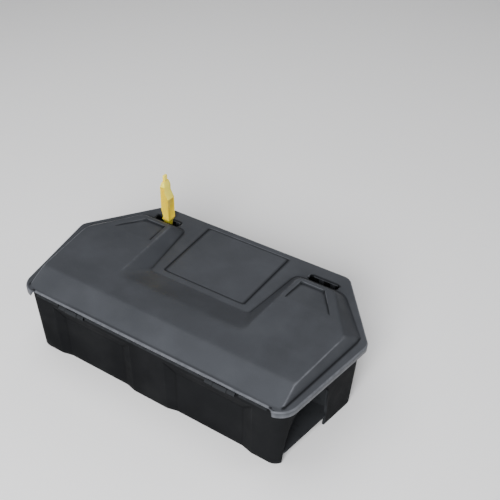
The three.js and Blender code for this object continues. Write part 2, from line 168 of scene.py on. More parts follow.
def soft_min(a, b, reach):
    """The smaller of two heights, blended by a parabola where they differ by less than reach."""
    share = np.clip(0.5 + 0.5 * (b - a) / reach, 0, 1)
    return b * (1 - share) + a * share - reach * share * (1 - share)


def soft_max(a, b, reach):
    """The larger of two heights, blended the same way."""
    return -soft_min(-a, -b, reach)


def ramp(x, y, foot, crest):
    """Height of a sloping wall: 0 on the foot line, STEP on the crest line, in proportion between
    them. The two lines count as at least 1.5 mm apart."""

    def side(line):
        (x0, y0), (x1, y1) = line
        return ((x1 - x0) * (y - y0) - (y1 - y0) * (x - x0)) / math.hypot(x1 - x0, y1 - y0)

    rise = side(foot)
    return STEP * rise / np.maximum(rise - side(crest), 1.5)


FOOT = [(-143.6, 6), (143.6, 6), (161.5, 118), (122, 166), (-122, 166)]
CREST = [(-143.5, 28.5), (143.5, 28.5), (152, 100.5), (116, 153.5), (-116, 153.5)]
LABEL_TOP, LABEL_FLOOR = 58.0, 91.0  # where the label area's hinge-side wall starts and ends
LABEL_LINE = 99.5  # where the fine line round the label area starts
PANEL_GAP = (4.6, 10.8)  # from an arm's sunk panel to the label area, and to the step's crest
PANEL_Y, PANEL_DEPTH = (119, 149), 2.1


def pocket_floor(y):
    """Half width of the sunk label area at its floor, growing evenly towards the lock edge."""
    return 58.5 + np.maximum(y - LABEL_FLOOR, 0) * 9.5 / 72


def pocket_top(y):
    """Half width of the sunk label area at the top of its walls."""
    return 72.3 + np.maximum(y - LABEL_TOP, 0) * 5.7 / 105


def rounded_share(side, front, width, length):
    """Share of the wall's height where two sloping walls meet in a rounded corner. At each level the
    corner is an arc whose centre and radius move evenly from floor to top, so the share is the smaller
    root of a quadratic; outside the arc's quarter it is the larger of the two walls' own shares."""
    low, high = LABEL_CORNER
    grow = high - low
    across, along = width - grow, length - grow
    x, y = width * side + low, length * front + low
    square = across**2 + along**2 - grow**2
    half = x * across + y * along + low * grow
    inside = half**2 - square * (x**2 + y**2 - low**2)
    share = (half - np.sqrt(np.maximum(inside, 0))) / square
    turned = (inside > 0) & (x > share * across) & (y > share * along)
    return np.where(turned, share, np.maximum(side, front))


def border(y):
    """Half width of the fine line round the label area."""
    return 47.6 + np.clip(y - LABEL_LINE, 0, 85) * 0.02


def half_width(y, corners):
    """Half width at y of a line with three corners, which runs straight on beyond the first and last."""
    (x0, y0), (x1, y1), (x2, y2) = corners
    near = x0 + (y - y0) * (x1 - x0) / (y1 - y0)
    far = x1 + (y - y1) * (x2 - x1) / (y2 - y1)
    return np.where(y < y1, near, far)


def crest_line(y):
    """Half width of the raised step's top edge."""
    return half_width(y, CREST[1:4])


def foot_line(y):
    """Half width of the raised step's foot."""
    return half_width(y, FOOT[1:4])


def slot_distance(x, y):
    """Distance outside the rounded slot beside the step, negative inside it."""
    across = np.abs(np.abs(x) - SLOT_X) - SLOT_LENGTH / 2 + SLOT_CORNER
    along = np.abs(y - SLOT_Y) - SLOT_WIDTH / 2 + SLOT_CORNER
    outside = np.hypot(np.maximum(across, 0), np.maximum(along, 0))
    return outside + np.minimum(np.maximum(across, along), 0) - SLOT_CORNER


def step_height(x, y):
    """Height of the raised step above the flange: the lowest of the outer walls and the label area's
    walls, which meet in rounded corners, held between 0 and STEP. Each meeting line is rounded by a
    blend of its own reach."""
    half = np.abs(x)
    outer = ramp(half, y, FOOT[0:2], CREST[0:2])
    for i in (1, 2, 3):
        outer = soft_min(outer, ramp(half, y, FOOT[i : i + 2], CREST[i : i + 2]), 4)
    floor, top = pocket_floor(y), pocket_top(y)
    length = LABEL_FLOOR - LABEL_TOP
    side_wall = (half - floor) / (top - floor)
    front_wall = (LABEL_FLOOR - y) / length
    inner = STEP * rounded_share(side_wall, front_wall, top - floor, length)
    return soft_max(soft_min(soft_min(outer, inner, 7), STEP, 1.4), 0, 0.5)


def fine_relief(x, y):
    """What is cut into the top: a panel on each arm that fades out towards the hinge, the fine line
    round the label area and a broken edge round each slot."""
    half = np.abs(x)
    fade = PANEL_DEPTH * (y - PANEL_Y[0]) / (PANEL_Y[1] - PANEL_Y[0])
    inner_side = (half - pocket_top(y) - PANEL_GAP[0]) * 1.4
    outer_side = (crest_line(y) - PANEL_GAP[1] - half) * 1.2
    sides = soft_min(inner_side, outer_side, 1.5)
    panel = soft_min(soft_min(sides, (PANEL_Y[1] - y) * 1.6, 1.0), fade, 0.4)
    panel = np.maximum(panel, 0)
    ends = soft_max(LABEL_LINE - y, y - 184, 1)
    line = np.abs(soft_max(half - border(y), ends, 2.5))
    groove = 0.6 * np.exp(-((line / 0.5) ** 2))
    broken = 0.5 * np.clip(1 - slot_distance(x, y) / 0.8, 0, 1)
    return panel + groove + broken


def lid_stations():
    """Rows across the lid and places along each row, set out between the lines that the step's edges
    follow, so that grid lines run along them. Between the two notches the rows beside the hinge edge
    stand back."""
    rows = [(EDGE, 0), (3, 5), (6, 6), (12, 8), (28.5, 14), (LABEL_TOP, 12), (LABEL_FLOOR, 14)]
    rows += [(LABEL_LINE, 8), (120, 18), (PANEL_Y[1], 16), (153.5, 6), (166, 10), (168, 4), (176, 9)]
    rows += [(184, 9), (DEPTH - EDGE, 12)]
    y = [np.array([EDGE])]
    for (low, _), (high, count) in zip(rows, rows[1:]):
        y.append(low + (high - low) * eased(count)[1:])
    y = np.concatenate(y)
    rim = rounded_plan(EDGE, [1] * 6, 64, np.array(LID_CORNERS) - EDGE)
    right = rim[rim[:, 0] > 0]
    right = right[np.argsort(right[:, 1])]
    reach = np.interp(y, right[:, 1], right[:, 0])
    inner = [0 * y, border(y), pocket_floor(y), pocket_top(y), pocket_top(y) + PANEL_GAP[0]]
    outer = [crest_line(y) - PANEL_GAP[1], crest_line(y), foot_line(y)]
    shares = [0, 0.3, 0.4, 0.5, 0.55, 0.85, 0.93, 0.965]
    lines = [np.minimum(line, reach * share) for line, share in zip(inner + outer, shares)]
    lines[1:5] = inner[1:5]
    for k in (5, 6, 7):
        lines[k] = np.maximum(lines[k], lines[k - 1] + 2)
    lines.append(reach)
    counts = [12, 8, 10, 6, 18, 8, 10, 8]
    half = [lines[0][:, None]]
    for low, high, count in zip(lines, lines[1:], counts):
        half.append(low[:, None] + (high - low)[:, None] * eased(count)[None, 1:])
    half = np.concatenate(half, 1)
    x = np.concatenate([-half[:, :0:-1], half], 1)
    y = np.repeat(y[:, None], x.shape[1], 1)
    between = np.clip((NOTCH_X + 1.5 - np.abs(x)) / 2.5, 0, 1)
    y = y + NOTCH_BACK * between * np.clip((12 - y) / (12 - EDGE), 0, 1)
    return x, y


def grid_faces(rows, columns, first=0):
    """Four-cornered faces of a grid whose points are numbered row by row."""
    i, j = np.meshgrid(np.arange(rows - 1), np.arange(columns - 1), indexing="ij")
    a = (first + i * columns + j).ravel()
    return np.stack([a, a + 1, a + columns + 1, a + columns], 1)


def grid_rim(rows, columns):
    """Numbers of a grid's edge points, once round from the first corner."""
    low = np.arange(columns)
    right = np.arange(1, rows) * columns + columns - 1
    high = (rows - 1) * columns + np.arange(columns - 2, -1, -1)
    left = np.arange(rows - 2, 0, -1) * columns
    return np.concatenate([low, right, high, left])


def band_faces(upper, lower):
    """Faces between two closed loops of point numbers, the second one further down or out."""
    return np.stack([upper, lower, np.roll(lower, -1), np.roll(upper, -1)], 1)


def outward(points, faces):
    """The faces turned so that the body's volume, summed over its faces, comes out positive."""
    corners = [points[faces[:, k]] for k in range(faces.shape[1])]
    volume = 0.0
    for k in range(1, len(corners) - 1):
        volume += (corners[0] * np.cross(corners[k], corners[k + 1])).sum()
    return faces if volume > 0 else faces[:, ::-1]


def new_piece(name, points, faces):
    """A mesh object made from points in millimetres on the plan and faces by point number."""
    mesh = bpy.data.meshes.new(name)
    mesh.from_pydata(shift_to_frame(points), [], faces)
    mesh.validate()
    piece = bpy.data.objects.new(name, mesh)
    bpy.context.scene.collection.objects.link(piece)
    return piece


def settle(piece, smooth_below=32):
    """Applies the piece's modifiers, marks edges sharper than an angle, and stores at each point its
    edge wear with painted highlight and its painted corner shade."""
    graph = bpy.context.evaluated_depsgraph_get()
    mesh = bpy.data.meshes.new_from_object(piece.evaluated_get(graph))
    piece.modifiers.clear()
    piece.data = mesh
    mesh.shade_smooth()
    mesh.set_sharp_from_angle(angle=math.radians(smooth_below))
    store_wear_and_shade(mesh)


def store_wear_and_shade(mesh):
    """Curvature at a point is the mean, over its edges, of twice the drop below the point's tangent
    plane over the edge length squared. Edge wear with painted highlight is the outward curvature and
    painted corner shade the inward, each times a radius of 2 mm and held between 0 and 1. The painted
    shade is then spread twice to the points around, and the edges beside it get neither wear nor
    highlight."""
    points = np.empty(len(mesh.vertices) * 3)
    normals = np.empty(len(mesh.vertices) * 3)
    ends = np.empty(len(mesh.edges) * 2, int)
    mesh.vertices.foreach_get("co", points)
    mesh.vertices.foreach_get("normal", normals)
    mesh.edges.foreach_get("vertices", ends)
    points, normals, ends = points.reshape(-1, 3), normals.reshape(-1, 3), ends.reshape(-1, 2)
    along = points[ends[:, 1]] - points[ends[:, 0]]
    length = np.maximum((along**2).sum(1), 1e-10)
    count = np.maximum(np.bincount(ends.ravel(), minlength=len(points)), 1)

    def around(first, second):
        """Mean over each point's edges of one value for the edge's first end and one for its second."""
        at_first = np.bincount(ends[:, 0], first, len(points))
        at_second = np.bincount(ends[:, 1], second, len(points))
        return (at_first + at_second) / count

    drop_first = -(normals[ends[:, 0]] * along).sum(1) * 2 / length
    drop_second = (normals[ends[:, 1]] * along).sum(1) * 2 / length
    curve = around(drop_first, drop_second) * 0.002
    # Inward curvature becomes the painted shade in inner corners.
    corner_shade = np.clip(-curve, 0, 1)
    for _ in range(2):
        corner_shade = np.maximum(corner_shade, around(corner_shade[ends[:, 1]], corner_shade[ends[:, 0]]))
    # Outward curvature, kept off the painted shade, marks edges for real wear and a painted highlight.
    wear_and_highlight = np.clip(curve, 0, 1) * np.clip(1 - 4 * corner_shade, 0, 1)
    for name, values in (("wear_and_highlight", wear_and_highlight), ("corner_shade", corner_shade)):
        attribute = mesh.attributes.new(name, "FLOAT", "POINT")
        attribute.data.foreach_set("value", values.astype(np.float32))


def cut(piece, cutter):
    """Takes the cutter's shape out of the piece and throws the cutter away."""
    change = piece.modifiers.new("cut", "BOOLEAN")
    change.operation, change.solver, change.object = "DIFFERENCE", "EXACT", cutter
    graph = bpy.context.evaluated_depsgraph_get()
    mesh = bpy.data.meshes.new_from_object(piece.evaluated_get(graph))
    piece.modifiers.clear()
    piece.data = mesh
    bpy.data.objects.remove(cutter)


def prisms(name, outlines, spans, axis="z"):
    """Straight-sided solids, each an outline carried along an axis from one height to another. Along x,
    the outline's points are (y, z). An outline whose summed cross products are negative is turned
    round first."""
    points, faces, first = [], [], 0
    for outline, (low, high) in zip(outlines, spans):
        outline = np.asarray(outline, float)
        following = np.roll(outline, -1, 0)
        if (outline[:, 0] * following[:, 1] - outline[:, 1] * following[:, 0]).sum() < 0:
            outline = outline[::-1]
        count = len(outline)
        ends = [np.column_stack([outline, np.full(count, level)]) for level in (low, high)]
        if axis == "x":
            ends = [end[:, [2, 0, 1]] for end in ends]
        points += ends
        near = np.arange(count) + first
        sides = band_faces(near + count, near)
        faces += [tuple(near[::-1]), tuple(near + count), *map(tuple, sides)]
        first += 2 * count
    points = np.concatenate(points)
    return new_piece(name, points, faces)


def slot_outline(side):
    """The slot's outline: a rectangle whose corners are arcs."""
    angle = np.linspace(0, np.pi / 2, 7)
    arc = np.stack([np.cos(angle), np.sin(angle)], 1) * SLOT_CORNER
    reach = np.array([SLOT_LENGTH / 2 - SLOT_CORNER, SLOT_WIDTH / 2 - SLOT_CORNER])
    quarters = []
    for turn, signs in enumerate([(1, 1), (-1, 1), (-1, -1), (1, -1)]):
        turned = arc if turn % 2 == 0 else arc[::-1]
        quarters.append((turned + reach) * signs)
    return np.concatenate(quarters) + (side * SLOT_X, SLOT_Y)


def lid_shell():
    """The lid's top is a height over the plan, its underside is the same height less the wall, drawn in
    towards the middle, and a profile carried round the edge joins them: rounded edge, skirt and lip.
    Between its two notches the hinge side has the thin lip only."""
    x, y = lid_stations()
    rows, columns = x.shape
    top = np.stack([x, y, LID_TOP + step_height(x, y) - fine_relief(x, y)], 2).reshape(-1, 3)
    under_x, under_y = x * UNDERSIDE[0], DEPTH / 2 + (y - DEPTH / 2) * UNDERSIDE[1]
    low = LID_TOP - LID_WALL + step_height(under_x, under_y)
    under = np.stack([under_x, under_y, low], 2).reshape(-1, 3)
    rim = grid_rim(rows, columns)
    edge = top[rim, :2]
    ahead = np.roll(edge, -1, 0) - np.roll(edge, 1, 0)
    ahead /= np.linalg.norm(ahead, axis=1, keepdims=True)
    out = np.stack([ahead[:, 1], -ahead[:, 0]], 1)
    lip = (np.abs(edge[:, 0]) < NOTCH_X) & (edge[:, 1] < 8)
    turn = np.radians([25, 50, 75, 90])
    profile = [(EDGE * (1 - math.sin(a)), LID_TOP - EDGE * (1 - math.cos(a)), None) for a in turn]
    profile += [(0.0, SKIRT_LOW + 0.5, LIP_LOW + 0.45), (0.15, SKIRT_LOW + 0.15, LIP_LOW + 0.12)]
    profile += [(0.5, SKIRT_LOW, LIP_LOW), (1.8, SKIRT_LOW, LIP_LOW), (2.1, SKIRT_LOW + 0.15, LIP_LOW)]
    profile += [(2.2, SKIRT_LOW + 0.5, LIP_LOW), (2.4, LIP_LOW - 0.3, LIP_LOW)]
    loops, numbers, first = [], [rim], len(top)
    for inset, height, lip_height in profile:
        level = np.where(lip, lip_height or height, height)
        loops.append(np.column_stack([edge + out * (EDGE - inset), level]))
        numbers.append(np.arange(len(rim)) + first)
        first += len(rim)
    numbers.append(rim + first)
    points = np.concatenate([top, *loops, under])
    faces = [grid_faces(rows, columns), grid_faces(rows, columns, first)[:, ::-1]]
    faces += [band_faces(a, b) for a, b in zip(numbers, numbers[1:])]
    faces = np.concatenate(faces)
    return new_piece("lid_shell", points, outward(points, faces).tolist())


class Finish:
    """A material under construction: its node tree, its shader, and the object coordinates in metres."""

    def __init__(self, name, roughness, metallic=0.0):
        self.material = bpy.data.materials.new(name)
        self.material.use_nodes = True
        self.tree = self.material.node_tree
        self.shader = self.tree.nodes["Principled BSDF"]
        self.shader.inputs["Roughness"].default_value = roughness
        self.shader.inputs["Metallic"].default_value = metallic
        self.place = self.tree.nodes.new("ShaderNodeTexCoord").outputs["Object"]

    def link(self, source, target):
        """Joins one node's result to another node's socket."""
        self.tree.links.new(source, target)

    def stretched(self, scale):
        """The object coordinates scaled differently along each axis."""
        node = self.tree.nodes.new("ShaderNodeMapping")
        node.inputs["Scale"].default_value = scale
        self.link(self.place, node.inputs["Vector"])
        return node.outputs["Vector"]

    def noise(self, scale, detail=3.0, source=None):
        """Smooth clouds, with features about one over the scale across, in metres."""
        node = self.tree.nodes.new("ShaderNodeTexNoise")
        node.inputs["Scale"].default_value = scale
        node.inputs["Detail"].default_value = detail
        self.link(source or self.place, node.inputs["Vector"])
        return node.outputs["Fac"]

    def cells(self, scale):
        """Distance to the nearest of many scattered points, which gives round grains."""
        node = self.tree.nodes.new("ShaderNodeTexVoronoi")
        node.inputs["Scale"].default_value = scale
        self.link(self.place, node.inputs["Vector"])
        return node.outputs["Distance"]

    def stored(self, name):
        """A value stored on the piece's points by name, such as the edge wear with painted highlight on
        outer edges and the painted shade in inner corners.
        """
        node = self.tree.nodes.new("ShaderNodeAttribute")
        node.attribute_name = name
        return node.outputs["Fac"]

    def between(self, value, low, high, out_low=0.0, out_high=1.0):
        """A value carried from one range to another and held there."""
        node = self.tree.nodes.new("ShaderNodeMapRange")
        self.link(value, node.inputs["Value"])
        sockets = ("From Min", "From Max", "To Min", "To Max")
        for name, number in zip(sockets, (low, high, out_low, out_high)):
            node.inputs[name].default_value = number
        return node.outputs["Result"]

    def combine(self, how, a, b):
        """Two values joined by one sum, such as MULTIPLY or ADD."""
        node = self.tree.nodes.new("ShaderNodeMath")
        node.operation = how
        for socket, value in zip(node.inputs, (a, b)):
            if isinstance(value, (int, float)):
                socket.default_value = value
            else:
                self.link(value, socket)
        return node.outputs["Value"]

    def blend(self, share, first, second):
        """A colour that goes from the first to the second as share goes from 0 to 1."""
        node = self.tree.nodes.new("ShaderNodeMix")
        node.data_type = "RGBA"
        self.link(share, node.inputs["Factor"])
        for socket, colour in ((node.inputs["A"], first), (node.inputs["B"], second)):
            if isinstance(colour, tuple):
                socket.default_value = (*colour, 1)
            else:
                self.link(colour, socket)
        return node.outputs["Result"]

    def bump(self, height, distance, strength=1.0, under=None):
        """Relief from a height of 0 to 1, distance metres deep."""
        node = self.tree.nodes.new("ShaderNodeBump")
        node.inputs["Distance"].default_value = distance
        node.inputs["Strength"].default_value = strength
        self.link(height, node.inputs["Height"])
        if under:
            self.link(under, node.inputs["Normal"])
        return node.outputs["Normal"]

    def joined(self, colour=None, roughness=None, normal=None):
        """Joins the made colour, roughness and relief to the shader."""
        for value, name in ((colour, "Base Color"), (roughness, "Roughness"), (normal, "Normal")):
            if value:
                self.link(value, self.shader.inputs[name])
        return self.material


COOL = (0.84, 0.92, 1.0)


def moulded_plastic(name, colour, roughness, worn_highlight_colour, grain=0.00005, gloss=0.5, tint=COOL, shade_depth=0.85):
    """Grained polypropylene: colour drifts slowly, dust and handling dull it in soft patches, a fine
    spark-eroded grain covers it, outer edges are rubbed smoother by wear and made lighter by wear and
    a painted highlight, and inner corners are darkened with painted shade. Gloss and tint are the
    strength and colour of its mirror light, the last argument is how dark the painted corner shade
    gets, and grain is the pits' depth in metres."""
    made = Finish(name, roughness)
    made.shader.inputs["Specular IOR Level"].default_value = gloss
    made.shader.inputs["Specular Tint"].default_value = (*tint, 1)
    drift = made.between(made.noise(11, 4), 0.35, 0.65)
    dull = made.between(made.noise(38, 5), 0.45, 0.75)
    pale = tuple(value * 1.35 + 0.004 for value in colour)
    dusty = tuple(value * 1.5 + 0.008 for value in colour)
    tone = made.blend(made.combine("MULTIPLY", drift, 0.6), colour, pale)
    tone = made.blend(made.combine("MULTIPLY", dull, 0.35), tone, dusty)
    fleck = made.between(made.noise(1400, 2), 0.52, 0.75, 0, 0.35)
    tone = made.blend(fleck, tone, pale)
    # Outer edges: real wear makes them smoother, and their lighter colour is real wear and a painted
    # highlight.
    edges = made.combine("MULTIPLY", made.stored("wear_and_highlight"), made.noise(160, 4))
    rubbed_highlight_share = made.between(edges, 0.06, 0.42)
    tone = made.blend(made.combine("MULTIPLY", rubbed_highlight_share, 0.75), tone, worn_highlight_colour)
    # Painted shade: inner corners are blended towards a dark copy of the colour.
    shade_share = made.between(made.stored("corner_shade"), 0.05, 0.5, 0, shade_depth)
    tone = made.blend(shade_share, tone, tuple(value * 0.15 for value in colour))
    rough = made.between(made.noise(70, 4), 0.3, 0.7, roughness - 0.05, roughness + 0.07)
    rough = made.combine("ADD", rough, made.between(rubbed_highlight_share, 0, 1, 0, -0.06))
    pits = made.bump(made.cells(900), grain, 0.55)
    flow = made.bump(made.noise(16, 2), 0.0004, 0.12, pits)
    sparks = made.bump(made.noise(2600, 3), grain * 0.8, 0.5, flow)
    return made.joined(tone, rough, sparks)


# The second colour is for rubbed edges: real wear, lightened further as a painted highlight.
LID_GREY, LID_WORN_HIGHLIGHT = (0.036, 0.0384, 0.044), (0.12, 0.125, 0.14)
lid_plastic = moulded_plastic("lid_plastic", LID_GREY, 0.42, LID_WORN_HIGHLIGHT, gloss=0.12)
lid_shell_piece = lid_shell()
for side in (-1, 1):
    cut(lid_shell_piece, prisms("slot_cutter", [slot_outline(side)], [(60, 95)]))
settle(lid_shell_piece, 40)
lid_shell_piece.data.materials.append(lid_plastic)
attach(lid_shell_piece, "lid")
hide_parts("lid")

# ---- Base shell ---------------------------------------------------------------------------------------
# The lower half of the box, one moulding of darker, duller polypropylene: leaning walls on the same
# six-sided plan, two sunk panels in the hinge side, an arched entrance in each end, and a turned-out
# rim.
RIM_TOP, RIM_LOW, WALL = 76.5, 73.5, 2.5
SUNK_BACK, SUNK_X, SUNK_TOP = 10.6, (20, 115), 66
SUNK_END_SLOPE, SUNK_TOP_SLOPE = 11, 12
ENTRANCE = (14.0, 74.0)
SILL = 15.0
HINGE_X, HINGE_REACH = 85.0, 15.5  # middle and half length of each hinge
SIDE_POINTS = [70, 30, 60, 30, 70, 260]  # most of them along the hinge side, for its sunk panels


def wall_inset(z):
    """Distance of the wall's outer face inside the lid's edge: 8 at the ground, 6 at the rim."""
    return 8 - 2 * z / RIM_TOP


def sunk(x, z):
    """Share of the sunk panels' depth on the hinge side: the least of the ramps at a panel's two ends
    and under its top, held between 0 and 1."""
    half = np.abs(x)
    near, far = (half - SUNK_X[0]) / SUNK_END_SLOPE, (SUNK_X[1] - half) / SUNK_END_SLOPE
    ends = soft_min(near, far, 0.1)
    return np.clip(soft_min(soft_min(ends, (SUNK_TOP - z) / SUNK_TOP_SLOPE, 0.08), 1, 0.08), 0, 1)


def base_ring(inset, z, deep=None):
    """One loop of the wall at a height: the plan moved in, with its hinge side pushed in where it is
    sunk. The push is that of the level deep, where one is given."""
    loop = rounded_plan(inset, SIDE_POINTS, 14)
    level = z if deep is None else deep
    if level < RIM_LOW:
        hinge_side = (loop[:, 1] < 15) & (np.abs(loop[:, 0]) < 125)
        push = sunk(loop[:, 0], level) * (SUNK_BACK - wall_inset(level))
        loop[:, 1] += np.where(hinge_side, push, 0)
    return np.column_stack([loop, np.full(len(loop), z)])


def rim_reach(x, y):
    """Share of the rim's full width: none beside the hinges and at the two hinge-side corners."""
    at_hinge = (np.abs(np.abs(x) - HINGE_X) < HINGE_REACH) & (y < 9)
    at_corner = (np.abs(x) > 130) & (y < 17)
    return np.where(at_hinge | at_corner, 0.0, 1.0)


def base_walls():
    """A closed loop of rings: up the outer face, out round the rim, in over its top, and down the inner
    face."""
    heights = np.concatenate([[1.3, 6, 14, 24, 36, 46, 50], np.arange(52, 68, 0.8), [70, 73.2]])
    rings = [base_ring(wall_inset(0) + 1.0, 0), base_ring(wall_inset(0) + 0.3, 0.4)]
    rings += [base_ring(wall_inset(z), z) for z in heights]
    outer = base_ring(wall_inset(RIM_LOW), RIM_LOW)
    share = rim_reach(outer[:, 0], outer[:, 1])[:, None]
    for out, z in ((0, 73.5), (2.8, 73.6), (3.1, 74), (3.1, 76), (2.8, 76.45), (2.3, 76.5)):
        turned_out = base_ring(wall_inset(RIM_LOW) - out, z, RIM_TOP)
        close_in = base_ring(wall_inset(RIM_LOW) + (0.3 if z > 76 else 0), z, RIM_TOP)
        rings.append(turned_out * share + close_in * (1 - share))
    inner = [base_ring(wall_inset(z) + WALL, z) for z in heights[::-1]]
    rings += [base_ring(wall_inset(RIM_TOP) + WALL, RIM_TOP, RIM_TOP), *inner]
    rings.append(base_ring(wall_inset(0) + WALL, 0.4))
    rings.append(base_ring(wall_inset(0) + WALL - 0.7, 0))
    count, length = len(rings), len(rings[0])
    numbers = np.arange(count * length).reshape(count, length)
    faces = np.concatenate([band_faces(a, b) for a, b in zip(numbers, np.roll(numbers, -1, 0))])
    points = np.concatenate(rings)
    return new_piece("base_walls", points, outward(points, faces).tolist())


def bent(a, b, c, steps=12):
    """Points along a parabola from a to c, pulled towards b."""
    share = np.linspace(0, 1, steps)[:, None]
    a, b, c = (np.array(point, float) for point in (a, b, c))
    return a * (1 - share) ** 2 + 2 * b * share * (1 - share) + c * share**2


def arch():
    """The entrance's outline as (y, z): one jamb leans and curves into the head, the other stands up."""
    near = bent((ENTRANCE[0], SILL), (16, 57), (30, 61))
    far = bent((60, 61), (70, 61), (71, 51))
    feet = [(ENTRANCE[1], SILL), (ENTRANCE[1], -1)]
    return np.concatenate([[(ENTRANCE[0], -1)], near, far, feet])


def soften(piece, width, segments=2, smooth_below=35):
    """Rounds every edge sharper than 40 degrees to a width in millimetres, and settles the piece."""
    rounded = piece.modifiers.new("rounded", "BEVEL")
    rounded.width = width / 1000
    rounded.segments = segments
    rounded.limit_method = "ANGLE"
    rounded.angle_limit = math.radians(40)
    settle(piece, smooth_below)
    return piece


def fitted(piece, body, material, node):
    """Gives a piece its material and its body, and hides the CAD node that it stands for."""
    piece.data.materials.clear()
    piece.data.materials.append(material)
    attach(piece, body)
    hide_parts(node)
    return piece


# The second colour is for rubbed edges: real wear, lightened further as a painted highlight.
BASE_BLACK, BASE_WORN_HIGHLIGHT = (0.0062, 0.0065, 0.0072), (0.028, 0.030, 0.033)
base_plastic = moulded_plastic("base_plastic", BASE_BLACK, 0.45, BASE_WORN_HIGHLIGHT, gloss=0.008)
walls = base_walls()
for low, high in ((125, 180), (-180, -125)):
    cut(walls, prisms("entrance_cutter", [arch()], [(low, high)], "x"))
settle(walls, 40)
fitted(walls, "base", base_plastic, "base")


# ---- Base floor and partitions ------------------------------------------------------------------------
# Part of the same moulding: a floor that runs out through the walls as the entrances' sills, and two
# upright partitions that keep the bait out of reach from the entrances.
def floor_outline():
    """The plan moved in to the middle of the wall, clear of the sunk panels, and out again at each
    sill, square to the end wall."""
    loop = rounded_plan(9.3, [90, 8, 8, 8, 90, 8], 8)
    lean, run = PLAN[1] - PLAN[0]
    slope = math.hypot(lean, run)
    in_entrance = (loop[:, 1] > ENTRANCE[0] + 0.2) & (loop[:, 1] < ENTRANCE[1] - 0.2)
    at_sill = (np.abs(loop[:, 0]) > 140) & in_entrance
    out = np.column_stack([np.sign(loop[:, 0]) * run / slope, np.full(len(loop), -lean / slope)])
    loop += np.where(at_sill[:, None], out * 1.3, 0)
    loop[:, 1] = np.maximum(loop[:, 1], 12)
    return loop


def circle(centre, radius, steps=32):
    """Evenly spaced points round a circle."""
    angle = np.arange(steps) * 2 * np.pi / steps
    return np.column_stack([np.cos(angle), np.sin(angle)]) * radius + centre


def rectangle(x, y):
    """The four corners of a rectangle between two pairs of limits."""
    return [(x[0], y[0]), (x[1], y[0]), (x[1], y[1]), (x[0], y[1])]


def mirrored(span):
    """A pair of limits on the other side of the station."""
    return (-span[1], -span[0])


ANCHOR_X, ANCHOR_Y, ANCHOR_RADIUS = 75, 45, 2.5
base_floor = prisms("base_floor", [floor_outline()], [(SILL - WALL, SILL)])
for side in (-1, 1):
    anchor = circle((ANCHOR_X * side, ANCHOR_Y), ANCHOR_RADIUS)
    cut(base_floor, prisms("anchor_cutter", [anchor], [(8, 20)]))
fitted(soften(base_floor, 0.3), "base", base_plastic, "base")

BAFFLE_X, BAFFLE_Y, BAFFLE_TOP = (45, 155.4), (82, 84.5), 74
ROOT = 0.5  # how far an upright part goes down into the floor
baffle_plan = [rectangle(BAFFLE_X, BAFFLE_Y), rectangle(mirrored(BAFFLE_X), BAFFLE_Y)]
baffles = prisms("partitions", baffle_plan, [(SILL - ROOT, BAFFLE_TOP)] * 2)
fitted(soften(baffles, 0.6, 3), "base", base_plastic, "base")


# ---- Lock towers --------------------------------------------------------------------------------------
# Two open-topped boxes moulded up from the floor. Each has a shelf that one latch slides on, a hollow
# below the shelf, and two screw holes in its top edges.
TOWER_X, TOWER_Y, TOWER_TOP = (78.0, 114.0), (147.0, 176.5), 60.0
POCKET_X, POCKET_BACK, SHELF = (84.0, 108.0), 150.0, 48.0
SCREW_X, SCREW_Y, PILOT_RADIUS = (81.0, 111.0), 155.0, 1.5

for side, name in ((-1, "left"), (1, "right")):
    sided = mirrored if side < 0 else tuple
    tower_plan = [rectangle(sided(TOWER_X), TOWER_Y)]
    tower = prisms(f"lock_tower_{name}", tower_plan, [(SILL - ROOT, TOWER_TOP)])
    for low, high in ((SHELF, 70), (SILL + 0.2, SHELF - WALL)):
        hollow = [rectangle(sided(POCKET_X), (POCKET_BACK, 190))]
        cut(tower, prisms("pocket_cutter", hollow, [(low, high)]))
    for x in SCREW_X:
        pilot = circle((side * x, SCREW_Y), PILOT_RADIUS, 20)
        cut(tower, prisms("pilot_cutter", [pilot], [(SHELF, 70)]))
    fitted(soften(tower, 0.4), "base", base_plastic, "base")


# ---- Hinges -------------------------------------------------------------------------------------------
# Moulded knuckles along the hinge edge, two on the base for each one on the lid, so that each of the
# two hinges is threaded by one short black plastic pin.
HINGE_Y, HINGE_Z, BORE = 3.0, 75.0, 1.5
BASE_KNUCKLE, LID_KNUCKLE = 8.0, 14.0  # lengths
BASE_BARREL, LID_BARREL, PIN_RADIUS, PIN_REACH = 2.2, 2.6, 1.2, 15.2


def arc_outline(radius, start, end, rest):
    """Part of a circle about the hinge's axis, as (y, z), and the straight-sided neck that joins it."""
    angle = np.radians(np.linspace(start, end, 30))
    arc = np.column_stack([np.cos(angle), np.sin(angle)]) * radius + (HINGE_Y, HINGE_Z)
    return np.concatenate([arc, rest])


def knuckles(name, outline, spans):
    """Knuckles with one outline along x, bored through for the pin."""
    piece = prisms(name, [outline] * len(spans), spans, "x")
    bores = [circle((HINGE_Y, HINGE_Z), BORE, 28)] * 2
    cut(piece, prisms("bore_cutter", bores, [(-110, -60), (60, 110)], "x"))
    return soften(piece, 0.25)


base_neck = arc_outline(BASE_BARREL, 43, 270, [(8, 72.8), (8, RIM_TOP)])
base_lows = [s * HINGE_X + low for s in (-1, 1) for low in (-HINGE_REACH, HINGE_REACH - BASE_KNUCKLE)]
base_spans = [(low, low + BASE_KNUCKLE) for low in base_lows]
base_knuckles = knuckles("base_knuckles", base_neck, base_spans)
fitted(base_knuckles, "base", base_plastic, "base")

lid_neck = arc_outline(LID_BARREL, 90, 388, [(5.3, 78), (3.1, 78)])
lid_spans = [(s * HINGE_X - LID_KNUCKLE / 2, s * HINGE_X + LID_KNUCKLE / 2) for s in (-1, 1)]
lid_knuckles = knuckles("lid_knuckles", lid_neck, lid_spans)
fitted(lid_knuckles, "lid", base_plastic, "lid")


